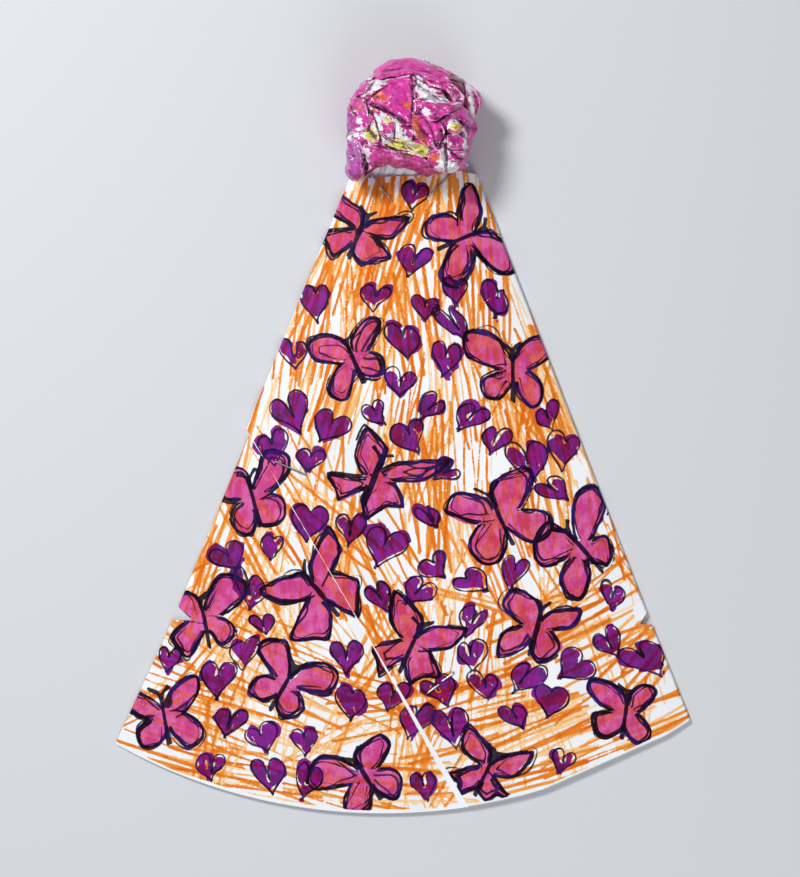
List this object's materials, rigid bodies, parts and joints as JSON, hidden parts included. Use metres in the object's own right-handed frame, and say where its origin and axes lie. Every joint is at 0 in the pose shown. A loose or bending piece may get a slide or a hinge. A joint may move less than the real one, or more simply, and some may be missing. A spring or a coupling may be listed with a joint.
{
  "type": "paper doll",
  "caption": "Paper doll lying flat: a rolled and flattened paper cone for a dress, a crumpled paper head that nods at its stapled neck.",
  "frame": {"origin": "on the table, under the middle of the whole doll as it lies on its back", "axes": "+Y from the hem to the head, +Z out of the front of the dress, +X to the right as seen from the front"},
  "size_m": [0.155, 0.2048, 0.022],
  "materials": {
    "coloured_dress_paper": "matte drawing paper under felt-tip scribble, hearts and butterflies",
    "plain_dress_paper": "matte drawing paper, bare",
    "coloured_head_paper": "crumpled paper in glossy pink, yellow and orange marker",
    "plain_head_paper": "crumpled paper, bare",
    "staple_wire": "bright zinc-plated wire"
  },
  "bodies": {
    "dress": {"dress_front_panel": "coloured_dress_paper", "dress_inner_panel": "coloured_dress_paper", "dress_inner_tuck": "plain_dress_paper", "dress_back_panel": "coloured_dress_paper", "dress_back_overlap": "coloured_dress_paper", "neck_tail": "plain_head_paper", "neck_staple_left": "staple_wire", "neck_staple_right": "staple_wire", "seam_staple_upper": "staple_wire", "seam_staple_lower": "staple_wire"},
    "head": {"head_wrapper": "coloured_head_paper", "head_hood_fold": "coloured_head_paper", "head_core": "plain_head_paper"}
  },
  "joints": [
    {"name": "head_nod", "type": "hinge", "parent": "dress", "child": "head", "pos_m": [0, 0.07165, 0.0023], "axis": [1, 0, 0], "range_deg": [-20, 20]}
  ]
}
